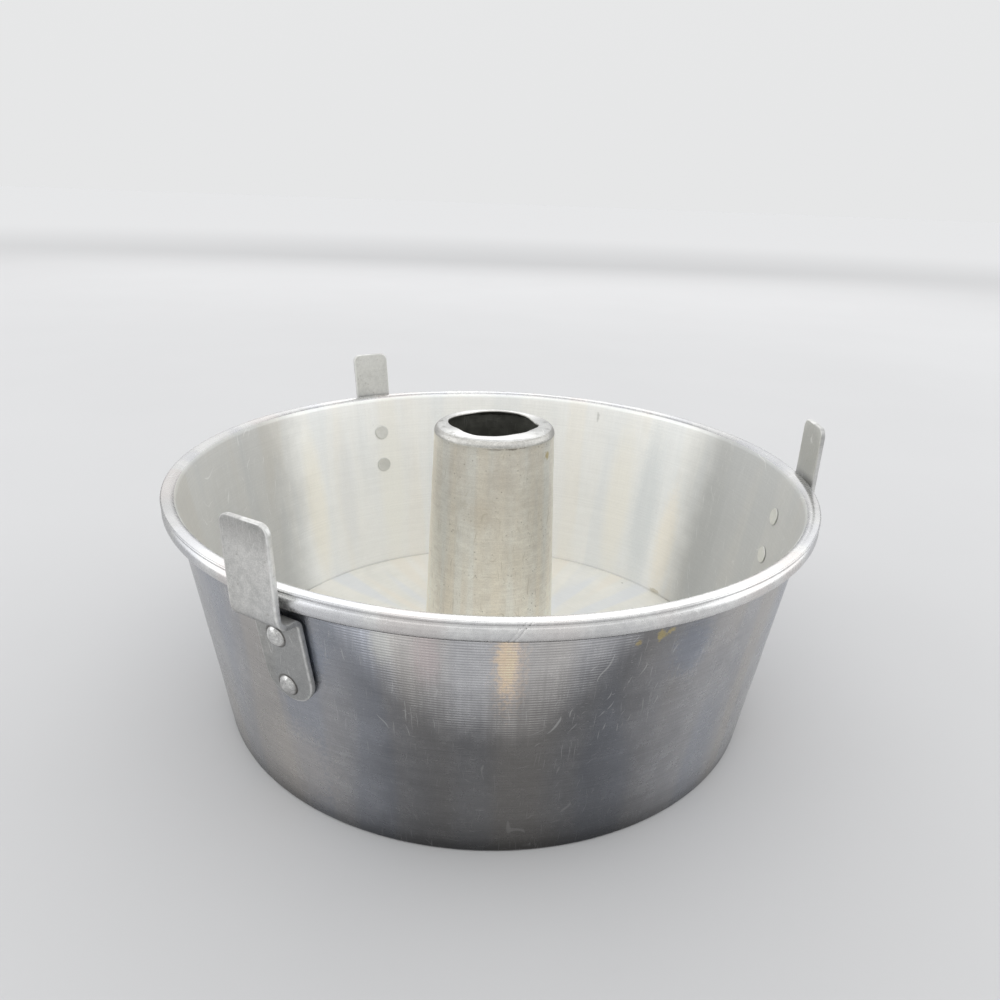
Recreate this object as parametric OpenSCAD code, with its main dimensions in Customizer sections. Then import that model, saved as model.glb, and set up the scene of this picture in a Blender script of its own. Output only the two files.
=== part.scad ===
// Angel food cake pan: a tapered ring with a rolled rim, a lift-out base with
// its centre tube, and three riveted cooling feet that stand above the rim.
// The origin is on the pan's axis, at the level it stands on. Millimetres, +Z up.

/* [Ring] */
// Height of the rim's top above the table
pan_h = 98; // [85:1:120]
// Outside diameter of the wall, measured up at the rim's level
wall_top_d = 254; // [250:0.5:255]
// Outside diameter of the wall at the table
wall_foot_d = 229; // [215:0.5:240]
// Thickness of the ring's sheet
ring_t = 1.1; // [0.9:0.1:1.4]
// Radius of the outside corner at the foot of the wall
foot_corner_r = 1; // [0.6:0.1:2]
// Radius of the inside corner at the mouth, where the wall turns out to the rim
mouth_corner_r = 3.4; // [2:0.1:4.6]
// Width of the ledge that carries the base
ledge_w = 9; // [6:0.5:14]

/* [Rolled rim] */
// How far the rim stands out from the wall
rim_w = 4; // [3.6:0.1:6]
// Diameter of the rolled bead under the rim's flat top
bead_d = 6.4; // [5:0.1:6.6]
// Depth of the bead's centre below the rim's top
bead_drop = 4.5; // [4.1:0.05:5]
// Depth of the crease between the flat top and the bead
groove_depth = 1.2; // [0.8:0.1:1.6]
// Width of the crevice between the end of the roll and the wall
roll_gap = 1.3; // [0.8:0.1:1.8]

/* [Base] */
// Thickness of the lift-out base
base_t = 1.1; // [0.9:0.1:1.6]
// Play between the base's edge and the wall
base_edge_gap = 0.4; // [0.3:0.05:0.8]
// Clearance between the base and the ledge it sits on
base_seat_gap = 0.1; // [0.05:0.05:0.3]

/* [Centre tube] */
// Height of the tube's top above the table
tube_h = 115.5; // [100:0.5:119]
// Outside diameter of the tube at the table's level
tube_foot_d = 60; // [54:0.5:70]
// Outside diameter of the tube up at its top
tube_top_d = 50.2; // [46:0.2:54]
// Thickness of the tube's sheet
tube_t = 1; // [0.8:0.1:1.2]
// Radius of the shoulder at the tube's top
shoulder_r = 3.2; // [1.8:0.1:4]
// Diameter of the hole that the turned-in lip leaves
tube_mouth_d = 36.6; // [30:0.2:40]
// Width of the flange that holds the base from below
tube_flange_w = 3; // [2:0.5:6]
// Width of the fold that holds the base from above
tube_fold_w = 1.6; // [1.2:0.1:3]
// Height of that fold
tube_fold_h = 1.6; // [1.2:0.1:2.4]
// Clearance between the tube and its hole in the base
tube_hole_gap = 0.05; // [0.02:0.01:0.2]

/* [Cooling feet] */
// How far each foot is riveted off its even third of the circle, in degrees
foot_turn = [-0.8, 1.2, -0.4]; // [-5:0.1:5]
// Width of a foot's strip
foot_w = 19.2; // [15:0.2:24]
// Thickness of a foot's strip
foot_t = 1.8; // [1.4:0.1:2.4]
// How far a foot's tab rises above the rim
foot_rise = 22.6; // [18:0.1:35]
// Gap between the rim and the tab that stands outside it
tab_gap = 1.7; // [1:0.1:4]
// Gap between the bead and the shelf that passes under it
shelf_gap = 3; // [0.8:0.1:4]
// How far a foot's plate reaches below the underside of its shelf
plate_drop = 31.6; // [30:0.1:40]
// Gap between a foot's plate and the wall, on the plate's middle line
plate_gap = 0.3; // [0.1:0.05:0.5]
// Inside radius of the strip's bend from the plate to the shelf
bend_r = 1.5; // [1:0.1:2.5]
// Inside radius of its bend from the shelf up to the tab, as far as the shelf has room for it
tab_bend_r = 2.4; // [1:0.1:3]
// Radius of the tab's upper corners
tab_corner_r = 3.6; // [2:0.2:7]

/* [Rivets] */
// Depth of the upper rivet below the underside of the shelf
upper_rivet_drop = 7.5; // [7:0.1:9]
// Distance between a foot's two rivets
rivet_pitch = 18.4; // [12:0.1:19]
// Diameter of a rivet's shank
shank_d = 4; // [3:0.1:5]
// Diameter of a rivet's domed head
head_d = 7.4; // [6.5:0.1:8.6]
// Height of a rivet's domed head
head_h = 1.8; // [1.2:0.1:2.6]
// Diameter of a rivet's flat tail inside the pan
tail_d = 7.5; // [6.5:0.1:9]
// Thickness of that tail
tail_h = 0.5; // [0.4:0.1:1]

/* [Hidden] */
foot_count = len(foot_turn);
$fn = 180;

rim_r = wall_top_d / 2 + rim_w;
wall_foot_r = wall_foot_d / 2;
wall_lean = (wall_top_d - wall_foot_d) / 2 / pan_h;
wall_deg = atan(wall_lean);
bead_r = bead_d / 2;
bead_at = [rim_r - bead_r, pan_h - bead_drop];
lip_r = ring_t / 2;
// Room for the mouth's corner between the wall and the rim's edge
mouth_room = (rim_w + ring_t / cos(wall_deg) - lip_r) / (1 / cos(wall_deg) - wall_lean);

base_z = ring_t + base_seat_gap;
base_top_z = base_z + base_t;

tube_lean = (tube_top_d - tube_foot_d) / 2 / tube_h;
tube_deg = atan(tube_lean);
tube_mouth_r = tube_mouth_d / 2;
tube_foot_z = base_z - tube_t;

shelf_top_z = pan_h - bead_drop - bead_r - shelf_gap;
shelf_z = shelf_top_z - foot_t;
plate_z = shelf_z - plate_drop;
tab_in_r = rim_r + tab_gap;
tab_out_r = tab_in_r + foot_t;
foot_top_z = pan_h + foot_rise;
upper_rivet_z = shelf_z - upper_rivet_drop;
lower_rivet_z = upper_rivet_z - rivet_pitch;

// Number of straight steps in each bend of a foot's strip
bend_steps = 8;
// Angle by which a straight sheet's end reaches into the round bend it joins
bend_lap = 8;
// Play around a rivet's shank in its holes
shank_gap = 0.05;
// Clearance that keeps a flat tail off the wall's hollow inside
tail_gap = 0.1;

// Radius of the wall's outside and inside at height z
function wall_r(z) = wall_foot_r + wall_lean * z;
function wall_in_r(z) = wall_r(z) - ring_t / cos(wall_deg);

// Radius of the tube's outside and inside at height z
function tube_r(z) = tube_foot_d / 2 + tube_lean * z;
function tube_in_r(z) = tube_r(z) - tube_t / cos(tube_deg);

// Point at distance r and angle a from the point c
function polar(c, r, a) = c + r * [cos(a), sin(a)];

// Sector of a disc about c, from angle a0 to a1, less than half a turn
module sector(c, r, a0, a1) {
    reach = 2 * r / cos((a1 - a0) / 4);
    intersection() {
        translate(c) circle(r);
        polygon([c, polar(c, reach, a0), polar(c, reach, (a0 + a1) / 2), polar(c, reach, a1)]);
    }
}

// Points of an arc about c, from angle a0 to a1
function arc(c, r, a0, a1) = [for (k = [0 : bend_steps]) polar(c, r, a0 + (a1 - a0) * k / bend_steps)];

// Places a thing at the wall's outside at height z, with its Z axis square to the wall
module on_wall(z) {
    translate([wall_r(z), 0, z]) rotate([0, 90 + wall_deg, 0]) children();
}

// Turns a thing to foot number i
module at_foot(i) {
    rotate([0, 0, i * 360 / foot_count + foot_turn[i]]) children();
}

// Section of the wall with its ledge, and of the mouth that turns out to the rim's flat top
module wall_section() {
    corner_at = [wall_r(foot_corner_r) - foot_corner_r / cos(wall_deg), foot_corner_r];
    mouth_r = min(mouth_corner_r, mouth_room);
    mouth_z = pan_h - mouth_r;
    mouth_at = [wall_in_r(mouth_z) + mouth_r / cos(wall_deg), mouth_z];
    under_r = mouth_r - ring_t;
    lip_at = [rim_r - lip_r, pan_h - lip_r];
    ledge_r = wall_in_r(0) - ledge_w;
    polygon([
        [ledge_r, 0],
        [corner_at[0], 0],
        polar(corner_at, foot_corner_r, -wall_deg),
        polar(mouth_at, under_r, 180 - wall_deg),
        polar(mouth_at, mouth_r - ring_t / 2, 180 - wall_deg - bend_lap),
        polar(mouth_at, mouth_r, 180 - wall_deg),
        [wall_in_r(ring_t), ring_t],
        [ledge_r, ring_t]
    ]);
    sector(corner_at, foot_corner_r, -90, -wall_deg);
    difference() {
        sector(mouth_at, mouth_r, 90, 180 - wall_deg);
        translate(mouth_at) circle(under_r);
    }
    polygon([
        [mouth_at[0], pan_h - ring_t],
        [lip_at[0], pan_h - ring_t],
        [lip_at[0], pan_h],
        [mouth_at[0], pan_h],
        polar(mouth_at, mouth_r - ring_t / 2, 90 + bend_lap)
    ]);
    translate(lip_at) circle(lip_r);
}

// Section of the bead that is rolled under the rim's flat top, and of the neck that carries it
module roll_section() {
    neck_r = rim_r - groove_depth;
    neck_in_r = neck_r - ring_t;
    roll_in_r = bead_r - ring_t;
    roll_end_r = wall_r(bead_at[1]) + roll_gap;
    difference() {
        union() {
            translate(bead_at) circle(bead_r);
            translate([neck_in_r, bead_at[1]]) square([ring_t, pan_h - lip_r - bead_at[1]]);
        }
        translate(bead_at) circle(roll_in_r);
        translate([0, bead_at[1] - bead_d]) square([roll_end_r, bead_d]);
        translate([0, bead_at[1]]) square([neck_in_r, bead_d]);
    }
}

module pan_ring() {
    color("silver")
    difference() {
        rotate_extrude() {
            wall_section();
            roll_section();
        }
        for (i = [0 : foot_count - 1])
            for (z = [upper_rivet_z, lower_rivet_z])
                at_foot(i) on_wall(z) cylinder(h = 4 * ring_t, d = shank_d + 2 * shank_gap, center = true);
    }
}

module base_disc() {
    color("gainsboro")
    translate([0, 0, base_z])
    difference() {
        cylinder(h = base_t, r = wall_in_r(base_z) - base_edge_gap);
        translate([0, 0, -base_t]) cylinder(h = 3 * base_t, r = tube_r(base_z) + tube_hole_gap);
    }
}

// Section of the tube: flange under the base, fold over it, wall, shoulder and lip
module tube_section() {
    shoulder_z = tube_h - shoulder_r;
    shoulder_at = [tube_r(shoulder_z) - shoulder_r / cos(tube_deg), shoulder_z];
    flange_r = tube_r(base_z) + tube_flange_w;
    fold_r = tube_r(base_top_z) + tube_fold_w;
    fold_mid_z = base_top_z + tube_fold_h / 2;
    polygon([
        [tube_in_r(tube_foot_z), tube_foot_z],
        [flange_r, tube_foot_z],
        [flange_r, base_z],
        [tube_r(base_z), base_z],
        polar(shoulder_at, shoulder_r, -tube_deg),
        [shoulder_at[0], tube_h],
        [tube_mouth_r, tube_h],
        [tube_mouth_r, tube_h - tube_t],
        [tube_in_r(tube_h - shoulder_r) - tube_t, tube_h - tube_t],
        [tube_in_r(tube_h - shoulder_r), tube_h - shoulder_r]
    ]);
    sector(shoulder_at, shoulder_r, -tube_deg, 90);
    translate([tube_in_r(base_top_z), base_top_z])
        square([fold_r - tube_fold_h / 2 - tube_in_r(base_top_z), tube_fold_h]);
    translate([fold_r - tube_fold_h / 2, fold_mid_z]) circle(d = tube_fold_h);
}

module centre_tube() {
    color("darkkhaki") rotate_extrude() tube_section();
}

// Side view of a foot's strip: plate, bend, shelf, bend and tab, as radius and height
module strip_side() {
    face = function (z) wall_r(z) + (plate_gap + foot_t) / cos(wall_deg);
    back = function (z) wall_r(z) + plate_gap / cos(wall_deg);
    low_at = [face(shelf_z - bend_r) + bend_r / cos(wall_deg), shelf_z - bend_r];
    high_r = min(tab_bend_r, tab_in_r - low_at[0]);
    high_at = [tab_in_r - high_r, shelf_top_z + high_r];
    polygon(concat(
        [[back(plate_z), plate_z], [face(plate_z), plate_z]],
        arc(low_at, bend_r, 180 - wall_deg, 90),
        arc(high_at, high_r + foot_t, -90, 0),
        [[tab_out_r, foot_top_z], [tab_in_r, foot_top_z]],
        arc(high_at, high_r, 0, -90),
        arc(low_at, bend_r + foot_t, 90, 180 - wall_deg)
    ));
}

// Front view of a foot's strip, as offset and height: round end below, round corners above
module strip_front() {
    end_z = plate_z + foot_w / 2;
    corner_x = foot_w / 2 - tab_corner_r;
    corner_z = foot_top_z - tab_corner_r;
    translate([0, end_z]) circle(d = foot_w);
    translate([-foot_w / 2, end_z]) square([foot_w, corner_z - end_z]);
    translate([-corner_x, end_z]) square([2 * corner_x, foot_top_z - end_z]);
    for (side = [-1, 1]) translate([side * corner_x, corner_z]) circle(tab_corner_r);
}

module cooling_foot(i) {
    color("darkgray")
    at_foot(i)
    difference() {
        intersection() {
            translate([0, foot_w / 2, 0]) rotate([90, 0, 0]) linear_extrude(foot_w) strip_side();
            rotate([90, 0, 90]) linear_extrude(tab_out_r + foot_t) strip_front();
        }
        for (z = [upper_rivet_z, lower_rivet_z])
            on_wall(z) cylinder(h = 3 * foot_t, d = shank_d + 2 * shank_gap);
    }
}

// Rivet of foot i at height z: flat tail inside the wall, shank, domed head outside
module rivet(i, z) {
    face = plate_gap + foot_t;
    tail_face = -ring_t - tail_gap;
    dome_r = (head_d * head_d / 4 + head_h * head_h) / (2 * head_h);
    color("whitesmoke")
    at_foot(i) on_wall(z)
    rotate_extrude() {
        translate([0, tail_face - tail_h]) square([tail_d / 2, tail_h]);
        translate([0, tail_face]) square([shank_d / 2, face - tail_face]);
        intersection() {
            translate([0, face + head_h - dome_r]) circle(dome_r);
            translate([0, face]) square([head_d / 2, head_h]);
        }
    }
}

pan_ring();
base_disc();
centre_tube();
cooling_foot(0);  // cooling_foot_1
cooling_foot(1);  // cooling_foot_2
cooling_foot(2);  // cooling_foot_3
rivet(0, upper_rivet_z);  // upper_rivet_1
rivet(0, lower_rivet_z);  // lower_rivet_1
rivet(1, upper_rivet_z);  // upper_rivet_2
rivet(1, lower_rivet_z);  // lower_rivet_2
rivet(2, upper_rivet_z);  // upper_rivet_3
rivet(2, lower_rivet_z);  // lower_rivet_3
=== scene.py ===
import math

import bmesh
import bpy
import numpy as np
from mathutils import Matrix, Vector


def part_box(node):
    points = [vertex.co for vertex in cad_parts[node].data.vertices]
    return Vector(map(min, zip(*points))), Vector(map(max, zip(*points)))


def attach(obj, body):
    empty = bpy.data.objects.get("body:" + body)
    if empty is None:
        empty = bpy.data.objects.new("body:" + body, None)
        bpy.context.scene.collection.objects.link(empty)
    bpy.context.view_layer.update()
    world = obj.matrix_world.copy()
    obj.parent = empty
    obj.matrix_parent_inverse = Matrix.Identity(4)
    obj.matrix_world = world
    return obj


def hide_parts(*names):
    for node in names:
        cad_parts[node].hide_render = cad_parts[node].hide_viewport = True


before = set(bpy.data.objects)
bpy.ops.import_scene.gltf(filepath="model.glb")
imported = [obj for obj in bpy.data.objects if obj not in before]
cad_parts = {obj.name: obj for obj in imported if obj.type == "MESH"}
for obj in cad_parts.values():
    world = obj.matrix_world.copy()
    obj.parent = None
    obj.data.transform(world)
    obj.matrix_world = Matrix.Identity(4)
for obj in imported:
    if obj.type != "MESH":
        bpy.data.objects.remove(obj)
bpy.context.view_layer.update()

# The looks of a spun aluminium angel food pan. Lengths are millimetres unless a name says otherwise.
MM = 0.001

# Sizes of the pan, the same as in the part's source
pan_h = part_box("pan_ring")[1].z / MM
rim_r = 131.0
wall_top_r = 127.0
wall_foot_r = 114.5
ring_t = 1.1
foot_corner_r = 1.0
mouth_corner_r = 3.4
ledge_w = 9.0
bead_r = 3.2
bead_drop = 4.5
groove_depth = 1.2
roll_gap = 1.3
base_t = 1.1
base_edge_gap = 0.4
base_seat_gap = 0.1
tube_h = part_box("centre_tube")[1].z / MM
tube_foot_r = 30.0
tube_top_r = 25.1
tube_t = 1.0
shoulder_r = 3.2
tube_mouth_r = 18.3
tube_flange_w = 3.0
tube_fold_w = 1.6
tube_fold_h = 1.6
tube_hole_gap = 0.05
foot_turn = (-0.8, 1.2, -0.4)
foot_w = 19.2
foot_t = 1.8
foot_top_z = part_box("cooling_foot_1")[1].z / MM
tab_gap = 1.7
shelf_gap = 3.0
plate_drop = 31.6
plate_gap = 0.3
bend_r = 1.5
tab_bend_r = 2.4
tab_corner_r = 3.6
upper_rivet_drop = 7.5
rivet_pitch = 18.4
shank_r = 2.0
head_r = 3.7
head_h = 1.8
tail_r = 3.75
tail_h = 0.5
tail_gap = 0.1

wall_lean = (wall_top_r - wall_foot_r) / pan_h
wall_ang = math.atan(wall_lean)
tube_lean = (tube_top_r - tube_foot_r) / tube_h
tube_ang = math.atan(tube_lean)
base_z = ring_t + base_seat_gap
base_top_z = base_z + base_t
bead_at = (rim_r - bead_r, pan_h - bead_drop)
shelf_top_z = pan_h - bead_drop - bead_r - shelf_gap
shelf_z = shelf_top_z - foot_t
plate_z = shelf_z - plate_drop
tab_in_r = rim_r + tab_gap
head_seat = plate_gap + foot_t
upper_rivet_z = shelf_z - upper_rivet_drop
rivet_z = {"upper": upper_rivet_z, "lower": upper_rivet_z - rivet_pitch}


def wall_r(z):
    """Radius of the wall's outside at height z."""
    return wall_foot_r + wall_lean * z


def wall_in_r(z):
    """Radius of the wall's inside at height z."""
    return wall_r(z) - ring_t / math.cos(wall_ang)


def tube_r(z):
    """Radius of the tube's outside at height z."""
    return tube_foot_r + tube_lean * z


def tube_in_r(z):
    """Radius of the tube's inside at height z."""
    return tube_r(z) - tube_t / math.cos(tube_ang)


# Profiles: lists of radius and height, closed, made of straight runs and arcs


def arc(centre, radius, start_deg, end_deg, steps):
    """Points of an arc from one angle to another."""
    angles = np.radians(np.linspace(start_deg, end_deg, steps + 1))
    return [(centre[0] + radius * math.cos(a), centre[1] + radius * math.sin(a)) for a in angles]


def run(start, end, step):
    """Points of a straight run, both ends left out, no further apart than step."""
    count = max(1, int(math.ceil(math.hypot(end[0] - start[0], end[1] - start[1]) / step)))
    return [tuple(np.array(start) + (np.array(end) - np.array(start)) * k / count) for k in range(1, count)]


def join(pieces, step=4.0):
    """One closed profile from arcs, joined by straight runs cut into steps."""
    points = []
    for k, piece in enumerate(pieces):
        following = pieces[(k + 1) % len(pieces)]
        points += list(piece) + run(piece[-1], following[0], step)
    return points


def angle_where(centre, radius, reached):
    """Angle in degrees at which an arc reaches a distance from the axis."""
    return math.degrees(math.acos((reached - centre[0]) / radius))


def ring_profile():
    """Section of the pan's ring: ledge, wall, mouth, flat rim, crease, hollow roll, and back down inside."""
    lean_deg = math.degrees(wall_ang)
    edge = 0.3
    lip_r = ring_t / 2
    ledge_r = wall_in_r(0) - ledge_w
    corner = (wall_r(foot_corner_r) - foot_corner_r / math.cos(wall_ang), foot_corner_r)
    mouth_z = pan_h - mouth_corner_r
    mouth = (wall_in_r(mouth_z) + mouth_corner_r / math.cos(wall_ang), mouth_z)
    under_r = mouth_corner_r - ring_t
    roll_in_r = bead_r - ring_t
    end_deg = -angle_where(bead_at, bead_r, wall_r(bead_at[1]) + roll_gap)
    end_at = arc(bead_at, bead_r - lip_r, end_deg, end_deg, 0)[0]
    neck_in_r = rim_r - groove_depth - ring_t
    neck_deg = angle_where(bead_at, roll_in_r, neck_in_r)
    under_deg = angle_where(mouth, under_r, neck_in_r)
    crease_r = 0.16
    crease_up = 0.02
    crease = (rim_r - groove_depth, pan_h - ring_t + crease_up)
    crease_deg = angle_where(bead_at, bead_r, crease[0] + crease_r)
    lip = (rim_r - lip_r, pan_h - lip_r)
    inner = 1.2
    inner_at = (wall_in_r(ring_t + inner) - inner / math.cos(wall_ang), ring_t + inner)
    return join([
        arc((ledge_r + edge, edge), edge, 180, 270, 4),
        arc(corner, foot_corner_r, -90, -lean_deg, 8),
        arc(mouth, under_r, 180 - lean_deg, under_deg, 6),
        arc(bead_at, roll_in_r, neck_deg, end_deg, 14),
        arc(end_at, lip_r, end_deg + 180, end_deg, 6)[1:-1],
        arc(bead_at, bead_r, end_deg, crease_deg, 26),
        arc(crease, crease_r, 250, 110, 3),
        arc(lip, lip_r, -80, 90, 8),
        arc(mouth, mouth_corner_r, 90, 180 - lean_deg, 14),
        arc(inner_at, inner, -lean_deg, -90, 5),
        arc((ledge_r + edge, ring_t - edge), edge, 90, 180, 4),
    ])


def base_profile():
    """Section of the base from its hole to its rounded edge."""
    edge = 0.35
    outer = wall_in_r(base_z) - base_edge_gap
    hole = tube_r(base_z) + tube_hole_gap
    return join([
        [(hole, base_z)],
        arc((outer - edge, base_z + edge), edge, -90, 0, 3),
        arc((outer - edge, base_top_z - edge), edge, 0, 90, 3),
        [(hole, base_top_z)],
    ], 5.0)


def tube_profile():
    """Section of the tube: flange below the base, fold above it, wall, shoulder and lip."""
    lean_deg = math.degrees(tube_ang)
    edge = 0.3
    foot_z = base_z - tube_t
    flange = tube_r(base_z) + tube_flange_w
    fold = tube_r(base_top_z) + tube_fold_w
    shoulder_z = tube_h - shoulder_r
    shoulder = (tube_r(shoulder_z) - shoulder_r / math.cos(tube_ang), shoulder_z)
    inner_r = shoulder_r - tube_t * 0.9
    bead = tube_fold_h / 2
    foot_inner = 0.8
    nook = 0.6
    fold_top = base_top_z + tube_fold_h
    nook_at = (tube_r(fold_top + nook) + nook / math.cos(tube_ang), fold_top + nook)
    lip_z = tube_h - tube_t / 2
    return join([
        arc((tube_in_r(foot_z) + foot_inner, foot_z + foot_inner), foot_inner, 180, 270, 4),
        arc((flange - edge, foot_z + edge), edge, -90, 0, 3),
        arc((flange - edge, base_z - edge), edge, 0, 90, 3),
        [(tube_r(base_z), base_z), (tube_r(base_top_z), base_top_z)],
        arc((fold - bead, base_top_z + bead), bead, -90, 90, 8),
        arc(nook_at, nook, 270, 180 - lean_deg, 4),
        arc(shoulder, shoulder_r, -lean_deg, 90, 10),
        arc((tube_mouth_r + tube_t / 2, lip_z), tube_t / 2, 90, 270, 8),
        arc(shoulder, inner_r, 90, -lean_deg, 6),
    ], 3.0)


# Irregularity: sums of waves round the axis, the same each run

rng = np.random.default_rng(20)
weld_m = 1e-7


def waves(orders, size):
    """A function of angle that sums a few waves of random phase, at most about size high."""
    parts = [(n, rng.uniform(0, 2 * math.pi), rng.uniform(0.5, 1.0) / math.sqrt(n)) for n in orders]
    total = sum(p[2] for p in parts)

    def value(theta):
        return size * sum(a * np.cos(n * theta + p) for n, p, a in parts) / total

    return value


def hump(value, at, reach):
    """1 where a value is at a place, and less the further it is from there, as a bell curve."""
    return np.exp(-(((value - at) / reach) ** 2))


def bump_at(theta, z, at_deg, at_z, wide_deg, high, depth):
    """A soft dent of given width and height, centred at an angle and a height."""
    turn = np.degrees(np.angle(np.exp(1j * (theta - math.radians(at_deg)))))
    return depth * np.exp(-((turn / wide_deg) ** 2) - ((z - at_z) / high) ** 2)


def mesh_object(name, verts, faces, body, replaces, worn=None):
    """A smooth closed mesh from points in millimetres, which stands for some CAD nodes.

    worn gives each point's wear, from 0 to 1, for the material, which paints it bright: partly real wear,
    partly painted highlight.
    """
    mesh = bpy.data.meshes.new(name)
    mesh.from_pydata([tuple(float(c) * MM for c in v) for v in verts], [], faces)
    if worn is not None:
        mesh.attributes.new("worn", "FLOAT", "POINT").data.foreach_set("value", worn)
    work = bmesh.new()
    work.from_mesh(mesh)
    bmesh.ops.remove_doubles(work, verts=work.verts, dist=weld_m)
    bmesh.ops.recalc_face_normals(work, faces=work.faces)
    work.to_mesh(mesh)
    work.free()
    mesh.shade_smooth()
    obj = bpy.data.objects.new(name, mesh)
    bpy.context.scene.collection.objects.link(obj)
    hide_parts(*replaces)
    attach(obj, body)
    return obj


def turned_faces(steps, count, closed):
    """Faces between copies of a profile round an axis. A closed profile's last point meets its first."""
    faces = []
    for i in range(steps):
        here, there = i * count, ((i + 1) % steps) * count
        for j in range(count if closed else count - 1):
            k = (j + 1) % count
            faces.append((here + j, there + j, there + k, here + k))
    return faces


def lathe(name, profile, angles, shape, body, replaces):
    """Turns a closed profile round the axis. shape moves the points, given angle, radius and height."""
    profile = np.array(profile)
    count, steps = len(profile), len(angles)
    theta = np.repeat(np.array(angles)[:, None], count, 1)
    radius = np.repeat(profile[None, :, 0], steps, 0)
    height = np.repeat(profile[None, :, 1], steps, 0)
    radius, height = shape(theta, radius, height)
    verts = np.stack([radius * np.cos(theta), radius * np.sin(theta), height], -1).reshape(-1, 3)
    return mesh_object(name, verts, turned_faces(steps, count, True), body, replaces)


def turn_angles(count, more_deg=()):
    """Evenly spaced angles in radians, and more of them where more_deg names places in degrees."""
    angles = [2 * math.pi * k / count for k in range(count)]
    angles += [math.radians(turn) % (2 * math.pi) for turn in more_deg]
    return sorted(set(round(angle, 6) for angle in angles))


# The ring

# Dents and bulges of the wall: angle, height, reach in degrees, reach in height, and how far out
WALL_DENTS = (
    (-104, 30, 7, 16, -0.25),
    (-62, 22, 6, 13, -0.22),
    (-75, 58, 9, 20, 0.16),
    (-128, 40, 8, 22, 0.22),
    (-40, 55, 10, 20, -0.2),
    (30, 45, 8, 22, -0.25),
    (70, 60, 10, 18, 0.2),
    (110, 35, 9, 20, -0.2),
    (160, 60, 8, 20, 0.24),
    (200, 35, 9, 18, -0.2),
)

# The nick in the bead: its angle, how far round it can reach, how much it slants, and its two cuts, each
# with its place along the rim, its reach and its depth
NICK_DEG = -86.3
NICK_REACH_DEG = 4
NICK_SLANT = 0.75
NICK_CUTS = ((0.2, 0.25, 0.42), (-1.4, 0.22, 0.26))


def nick_depth(theta, radius, height):
    """Depth of the nick in the bead, 0 away from it."""
    on_rim = (radius > wall_top_r + 0.4) & (height > pan_h - 9)
    turn = np.degrees(theta) - 360 * (np.degrees(theta) > 180) - NICK_DEG
    along_rim = turn * math.radians(1) * rim_r - (height - bead_at[1]) * NICK_SLANT
    cuts = sum(depth * hump(along_rim, at, reach) for at, reach, depth in NICK_CUTS)
    outside = np.clip((radius - bead_at[0]) / bead_r, 0, 1)
    return on_rim * cuts * outside * (np.abs(turn) < NICK_REACH_DEG)


def ring_shape():
    """The ring is a little out of round and dented, its rim waves, and its mouth draws in at the front."""
    out_of_round = waves((3, 4, 5, 7), 0.22)
    ripple = waves((9, 13, 17, 22), 0.06)
    rim_sink = 0.10
    rim_wave = waves((5, 8, 11, 14), rim_sink)
    still_h, rim_h, mouth_h, drawn_in = 4, 8, 3.2, 0.45

    def shape(theta, radius, height):
        free = np.sin(np.pi * np.clip((height - still_h) / (pan_h - 10), 0, 1)) ** 0.7
        radius = radius + (out_of_round(theta) + ripple(theta + 0.02 * height)) * free
        for dent in WALL_DENTS:
            radius = radius + bump_at(theta, height, *dent) * (height > 2)
        top = np.clip((height - (pan_h - rim_h)) / rim_h, 0, 1)
        front = np.clip(-np.sin(theta) * 1.6 - 0.5, 0, 1)
        mouth = np.clip((height - (pan_h - mouth_h)) / mouth_h, 0, 1) * (radius < wall_top_r + 1.2)
        radius = radius - front * mouth * drawn_in
        height = height + (rim_wave(theta) - rim_sink) * top
        return radius - nick_depth(theta, radius, height), height

    return shape


ring_angles = turn_angles(400, np.linspace(NICK_DEG - 2.6, NICK_DEG + 2.6, 90))
ring = lathe("pan_ring_looks", ring_profile(), ring_angles, ring_shape(), "ring", ["pan_ring"])

# The base


def base_shape():
    """The base is a thin sheet, so it dips and rises a little between its hole and its edge."""
    dish = waves((2, 3, 5), 0.10)
    swirl = waves((4, 6, 7), 0.06)
    free_from, free_w = 34, 68
    rise = 0.12

    def shape(theta, radius, height):
        middle = np.sin(np.pi * np.clip((radius - free_from) / free_w, 0, 1))
        return radius, height + middle * (dish(theta) + swirl(theta + radius * 0.03) + rise)

    return shape


base = lathe("base_looks", base_profile(), turn_angles(300), base_shape(), "insert", ["base_disc"])

# The tube. Its lip was cut by hand, so the hole's radius changes round the edge: angle and radius.

LIP_EDGE = (
    (2, 18.7), (12, 17.1), (30, 17.5), (60, 20.4), (84, 21.2), (102, 20.6), (124, 19.2), (145, 20.2),
    (165, 20.2), (185, 19.0), (211, 16.6), (248, 19.3), (273, 17.9), (300, 15.8), (336, 16.2),
)


def lip_radius(theta):
    """Radius of the tube's hole at an angle, run smoothly through the points of LIP_EDGE."""
    turn = np.degrees(theta) % 360
    at = [LIP_EDGE[-1][0] - 360] + [p[0] for p in LIP_EDGE] + [LIP_EDGE[0][0] + 360]
    size = [LIP_EDGE[-1][1]] + [p[1] for p in LIP_EDGE] + [LIP_EDGE[0][1]]
    wrap = 18
    total = 0
    for shift in (-4, -2, 0, 2, 4):
        total = total + 0.2 * np.interp((turn + shift + wrap) % 360 - wrap, at, size)
    return total


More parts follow.
